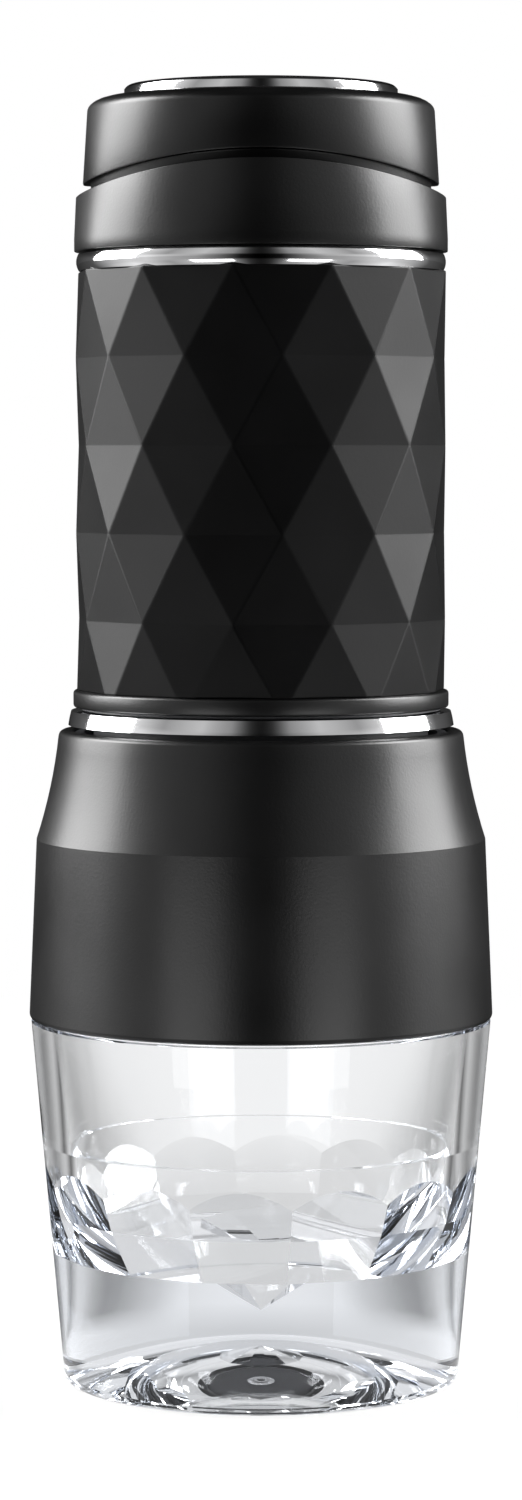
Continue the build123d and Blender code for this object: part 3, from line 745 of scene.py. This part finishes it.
def makeCavity():
    dims = cupDims
    low = dims["floorZ"]
    deep = low - dims["overcut"]
    deepRadius = dims["wallTop"] - dims["wallTaper"] * (dims["ledgeZ"] - deep)
    cavity = turnPiece("cupCavity", [(0, dims["ledgeZ"]), (dims["wallTop"], dims["ledgeZ"]), (deepRadius, deep),
                                     (0, deep)], closed=False)
    makeActive(cavity)
    bpy.ops.object.mode_set(mode="EDIT")
    for apothem, height, slope in dims["wallRings"]:
        lean = math.radians(slope)
        for side in range(dims["sides"]):
            heading = math.radians(dims["turn"] + 360 * side / dims["sides"])
            out = Vector((math.cos(heading), math.sin(heading), 0))
            normal = out * math.sin(lean) + Vector((0, 0, -math.cos(lean)))
            bpy.ops.mesh.select_all(action="SELECT")
            bpy.ops.mesh.bisect(plane_co=out * apothem + Vector((0, 0, height)), plane_no=normal,
                                use_fill=True, clear_outer=True, threshold=dims["cutThreshold"])
    # the floor is cut last, so that it is one clean face with a corner for each side
    bpy.ops.mesh.select_all(action="SELECT")
    bpy.ops.mesh.bisect(plane_co=(0, 0, low), plane_no=(0, 0, -1), use_fill=True, clear_outer=True,
                        threshold=dims["cutThreshold"])
    # the lid is taken off, and its rim becomes the inner edge of the ledge
    selectFaces(cavity, lambda face: all(abs(vert.co.z - dims["ledgeZ"]) < nearby for vert in face.verts))
    bpy.ops.mesh.delete(type="FACE")
    # the middle of the flat floor is pushed down to a point
    selectFaces(cavity, lambda face: all(abs(vert.co.z - low) < nearby for vert in face.verts))
    apothem, height, slope = dims["wallRings"][-1]
    floorRadius = apothem - (height - low) / math.tan(math.radians(slope))
    bpy.ops.mesh.inset(thickness=floorRadius - dims["pointRadius"])
    bpy.ops.mesh.poke(offset=low - dims["pointZ"])
    bpy.ops.object.mode_set(mode="OBJECT")
    return cavity


def makeCup():
    dims = cupDims
    outer = radius("cup")
    rim = top("cup")
    cavity = makeCavity()
    edge = dims["footEdge"]
    reach = math.acos(1 - (dims["domeZ"] - dims["footLift"]) / dims["domeRadius"])
    dome = []
    for index in range(dims["domeSteps"] + 1):
        angle = reach * index / dims["domeSteps"]
        sag = dims["domeRadius"] * (1 - math.cos(angle))
        dome.append((dims["domeRadius"] * math.sin(angle), dims["domeZ"] - sag))
    outline = [*dome,
               *curve((dims["footRadius"] - edge, 0), (dims["footRadius"] - arcShare * edge, arcShare * edge),
                      (dims["footRadius"], edge), 4),
               (outer, dims["shoulderZ"]), (dims["spigotRadius"], dims["shoulderZ"]),
               (dims["spigotRadius"], rim - dims["rimRound"]), (dims["spigotRadius"] - dims["rimRound"], rim),
               (dims["mouthRadius"], rim), (dims["mouthRadius"], dims["shoulderZ"]),
               (dims["ledgeRadius"], dims["ledgeZ"]), (dims["wallTop"], dims["ledgeZ"])]
    body = turnPiece("clearCup", outline, closed=False)
    makeActive(body)
    cavity.select_set(True)
    bpy.ops.object.join()
    bpy.ops.object.mode_set(mode="EDIT")
    # the inner edge of the ledge and the rim of the cavity have the same points
    bpy.ops.mesh.select_mode(type="VERT")
    bpy.ops.mesh.select_all(action="SELECT")
    bpy.ops.mesh.remove_doubles(threshold=mergeDistance)
    bpy.ops.mesh.normals_make_consistent(inside=False)
    bpy.ops.object.mode_set(mode="OBJECT")
    smooth(body, 8)
    finishPiece(body, "cup", "cup")


makeCup()


def springCopy(name, node):
    clearSelection()
    piece = bpy.data.objects.new(name, frame["nodes"][node].data.copy())
    bpy.context.collection.objects.link(piece)
    makeActive(piece)
    bpy.ops.object.mode_set(mode="EDIT")
    bpy.ops.mesh.select_all(action="SELECT")
    bpy.ops.mesh.remove_doubles(threshold=mergeDistance)
    bpy.ops.object.mode_set(mode="OBJECT")
    smooth(piece)
    dressPiece(piece, node)
    return piece


def makeSprings():
    outletCoil = springCopy("outletCoil", "outlet_spring")
    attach(outletCoil, "tank_body")
    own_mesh(outletCoil)
    # in the real press the turns draw apart between the gland and the rising plunger; this copy only has its
    # place baked into its points
    returnCoil = springCopy("returnCoil", "return_spring")
    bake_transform(returnCoil)


makeSprings()


cameraDims = {"distance": 704 * mm, "height": 145.3 * mm, "pitch": 3.77, "lens": 108.24, "sensor": 36}


def makeCamera():
    dims = cameraDims
    data = bpy.data.cameras.new("camera")
    data.lens = dims["lens"]
    data.sensor_width = dims["sensor"]
    camera = bpy.data.objects.new("camera", data)
    camera.location = (0, -dims["distance"], dims["height"])
    camera.rotation_euler = (math.radians(90 - dims["pitch"]), 0, 0)
    bpy.context.scene.collection.objects.link(camera)
    bpy.context.scene.camera = camera
    print("camera ready")


makeCamera()


# heading from the front in degrees, distance, low and high edge, width, radiance
lampDims = {
    "leftStrip": (-104, 0.75, 0.13, 0.95, 0.58, 9.0),
    "rightStrip": (98, 0.75, 0.13, 0.95, 0.54, 9.0),
    "leftTop": (-104, 0.70, 0.42, 0.95, 0.46, 6.0),
    "rightTop": (98, 0.70, 0.42, 0.95, 0.46, 6.0),
    "leftLow": (-31, 0.22, 0.0, 0.075, 0.11, 2.1),
    "rightLow": (31, 0.22, 0.0, 0.075, 0.11, 2.1),
    "overhead": (180, 0.25, 1.2, 1.2, 0.6, 1.6),
}
aimHeight = 0.1  # where a flat lamp points on the upright axis


def makeLamp(name, heading, distance, low, high, width, radiance):
    lamp = bpy.data.lights.new(name, "AREA")
    lamp.shape = "RECTANGLE"
    angle = math.radians(heading)
    height = (low + high) / 2
    tall = high - low if high > low else width
    lamp.size = width
    lamp.size_y = tall
    lamp.energy = radiance * math.pi * width * tall
    rig = bpy.data.objects.new(name, lamp)
    rig.location = (distance * math.sin(angle), -distance * math.cos(angle), height)
    aim = Vector((0, 0, height if high > low else aimHeight)) - rig.location
    rig.rotation_euler = aim.to_track_quat("-Z", "Y").to_euler()
    rig.visible_camera = False
    rig.visible_glossy = name != "overhead"
    bpy.context.scene.collection.objects.link(rig)


for lampName, lampDim in lampDims.items():
    makeLamp(lampName, *lampDim)
print("lamps ready")


stageDims = {
    "floorSize": 12.0,
    "whiteFrom": 0.16,  # distance from the part where the floor starts to fade to white
    "whiteTo": 0.50,
    "paper": 0.80,
    "glowNear": 0.85,
    "mirrored": 0.75,  # painted reflection: how much of the room's brightness the floor shows in bright surfaces
    "paintedShadowTone": 0.76,  # painted shadow: the grey that clear pieces see on the table close by, in place of its lit shade
    "paintedShadowFrom": 0.10,
    "paintedShadowTo": 0.15,
    "mirrorFrom": 0.30,  # how far out the floor shows bright rings a painted reflection of a pale sheet
    "mirrorTo": 0.50,
}


# grey level of the room by heading: 0 is straight in front of the part, 0.5 to the side, 1 behind it; the floor
# also shows these levels as painted light, shade and reflection
roomDims = {
    "glossy": ((0.0, 0.0), (0.012, 0.01), (0.05, 0.20), (0.117, 0.46), (0.206, 0.55), (0.297, 0.72),
               (0.37, 0.95), (0.5, 1.0), (0.67, 0.6), (0.82, 0.12), (1.0, 0.03)),
    "clear": ((0.0, 0.6), (0.15, 0.5), (0.5, 0.9), (0.72, 0.75), (0.80, 0.42), (0.84, 0.8), (0.87, 0.97),
              (0.93, 0.92), (1.0, 1.0)),
    # painted light and shade: the floor's glow for clear pieces by heading, with dark bands and a bright back
    "table": ((0.0, 0.6), (0.15, 0.5), (0.5, 0.9), (0.77, 0.75), (0.80, 0.26), (0.818, 0.09), (0.832, 0.30),
              (0.86, 0.62), (0.885, 0.56), (0.915, 0.34), (0.94, 0.22), (0.957, 0.30), (0.972, 0.46),
              (0.985, 0.64), (0.993, 0.9), (1.0, 1.0)),
    "sheet": ((0.0, 0.01), (0.005, 0.04), (0.0245, 0.30), (0.095, 0.6), (0.26, 0.35), (0.4, 0.7), (0.5, 1.0),
              (0.67, 0.6), (0.82, 0.06), (1.0, 0.0)),
    "diffuse": 0.2,
    "raised": (0.10, 0.25),  # sine of the elevation where bright rings start to see a pale sheet
    "overhead": (0.72, 0.86),
    "ceiling": 0.02,
}


def roomRamp(nodes, links, heading, kind, share=1.0):
    colours = nodes.new("ShaderNodeValToRGB")
    elements = colours.color_ramp.elements
    stops = roomDims[kind]
    while len(elements) < len(stops):
        elements.new(0.5)
    for element, (position, level) in zip(elements, stops):
        element.position = position
        element.color = (level * share, level * share, level * share, 1)
    links.new(heading, colours.inputs["Fac"])
    return colours.outputs["Color"]


def headingOf(nodes, links, vector):
    # 0 at the front, 1 at the back
    split = nodes.new("ShaderNodeSeparateXYZ")
    links.new(vector, split.inputs["Vector"])
    return ramp(nodes, links, split.outputs["Y"], 0.0, 1.0, -1.0, 1.0)


def makeFloor():
    dims = stageDims
    clearSelection()
    bpy.ops.mesh.primitive_plane_add(size=dims["floorSize"], location=(0, 0, 0))
    floor = bpy.context.object
    floor.name = "floor"
    material = bpy.data.materials.new("paleFloor")
    material.use_nodes = True
    nodes = material.node_tree.nodes
    links = material.node_tree.links
    nodes.clear()
    output = nodes.new("ShaderNodeOutputMaterial")
    paper = nodes.new("ShaderNodeBsdfDiffuse")
    paper.inputs["Color"].default_value = (dims["paper"], dims["paper"], dims["paper"], 1)
    glow = nodes.new("ShaderNodeEmission")
    mix = nodes.new("ShaderNodeMixShader")
    rays = nodes.new("ShaderNodeLightPath")
    place = nodes.new("ShaderNodeTexCoord")
    reach = vectorMath(nodes, links, "LENGTH", place.outputs["Object"])
    fade = ramp(nodes, links, reach, dims["glowNear"], 1.0, dims["whiteFrom"], dims["whiteTo"])
    seen = numberMath(nodes, links, "MULTIPLY", rays.outputs["Is Camera Ray"], fade)
    bent = rays.outputs["Is Transmission Ray"]
    mirror = rays.outputs["Is Glossy Ray"]
    other = numberMath(nodes, links, "MAXIMUM", bent, mirror)
    links.new(numberMath(nodes, links, "MAXIMUM", seen, other), mix.inputs["Fac"])
    # painted shadow: clear pieces see the table close by as a flat grey instead of its lit shade
    paintedShadowMask = ramp(nodes, links, reach, 1.0, 0.0, dims["paintedShadowFrom"], dims["paintedShadowTo"])
    # painted reflection: near the part, shiny surfaces see the floor as a pale sheet
    sheet = ramp(nodes, links, reach, 1.0, 0.0, dims["mirrorFrom"], dims["mirrorTo"])
    heading = headingOf(nodes, links, vectorMath(nodes, links, "NORMALIZE", place.outputs["Object"]))
    paintedShadowTone = dims["paintedShadowTone"]
    # painted light and shade on the floor for clear pieces, with the painted shadow close by
    paintedTableLightAndShadow = layered(nodes, links, roomRamp(nodes, links, heading, "table"),
                   [(paintedShadowMask, (paintedShadowTone, paintedShadowTone, paintedShadowTone, 1))])
    # painted reflection: shiny surfaces see the floor as the room's heading ramp, not its own lit shade
    mirrored = layered(nodes, links, roomRamp(nodes, links, heading, "glossy", dims["mirrored"]),
                       [(sheet, roomRamp(nodes, links, heading, "sheet"))])
    # the floor glows white to the camera, shows a painted reflection to shiny surfaces and painted light and
    # shade to clear pieces
    colour = layered(nodes, links, (1, 1, 1, 1), [(mirror, mirrored), (bent, paintedTableLightAndShadow)])
    links.new(colour, glow.inputs["Color"])
    links.new(paper.outputs[0], mix.inputs[1])
    links.new(glow.outputs[0], mix.inputs[2])
    links.new(mix.outputs[0], output.inputs["Surface"])
    floor.data.materials.append(material)
    print("floor ready")


makeFloor()


def makeWorld():
    world = bpy.data.worlds.new("studio")
    bpy.context.scene.world = world
    world.use_nodes = True
    nodes = world.node_tree.nodes
    links = world.node_tree.links
    nodes.clear()
    output = nodes.new("ShaderNodeOutputWorld")
    room = nodes.new("ShaderNodeBackground")
    place = nodes.new("ShaderNodeTexCoord")
    rays = nodes.new("ShaderNodeLightPath")
    split = nodes.new("ShaderNodeSeparateXYZ")
    links.new(place.outputs["Generated"], split.inputs["Vector"])
    heading = headingOf(nodes, links, place.outputs["Generated"])
    level = vectorMath(nodes, links, "MULTIPLY", place.outputs["Generated"], (1, 1, 0))
    compass = headingOf(nodes, links, vectorMath(nodes, links, "NORMALIZE", level))
    raised = ramp(nodes, links, split.outputs["Z"], 0.0, 1.0, *roomDims["raised"])
    overhead = ramp(nodes, links, split.outputs["Z"], 0.0, 1.0, *roomDims["overhead"])
    dark = roomDims["ceiling"]
    mirrored = layered(nodes, links, roomRamp(nodes, links, compass, "glossy"),
                       [(raised, roomRamp(nodes, links, compass, "sheet")), (overhead, (dark, dark, dark, 1))])
    grey = roomDims["diffuse"]
    colour = layered(nodes, links, (grey, grey, grey, 1),
                     [(rays.outputs["Is Glossy Ray"], mirrored),
                      (rays.outputs["Is Transmission Ray"], roomRamp(nodes, links, heading, "clear")),
                      (rays.outputs["Is Camera Ray"], (1, 1, 1, 1))])
    links.new(colour, room.inputs["Color"])
    links.new(room.outputs[0], output.inputs["Surface"])
    print("room ready")


makeWorld()
bpy.context.scene.view_settings.view_transform = "Standard"

# light turns back many times inside the clear cup before it gets out
paths = bpy.context.scene.cycles
paths.max_bounces = 32
paths.glossy_bounces = 28
paths.transmission_bounces = 28

clearSelection()
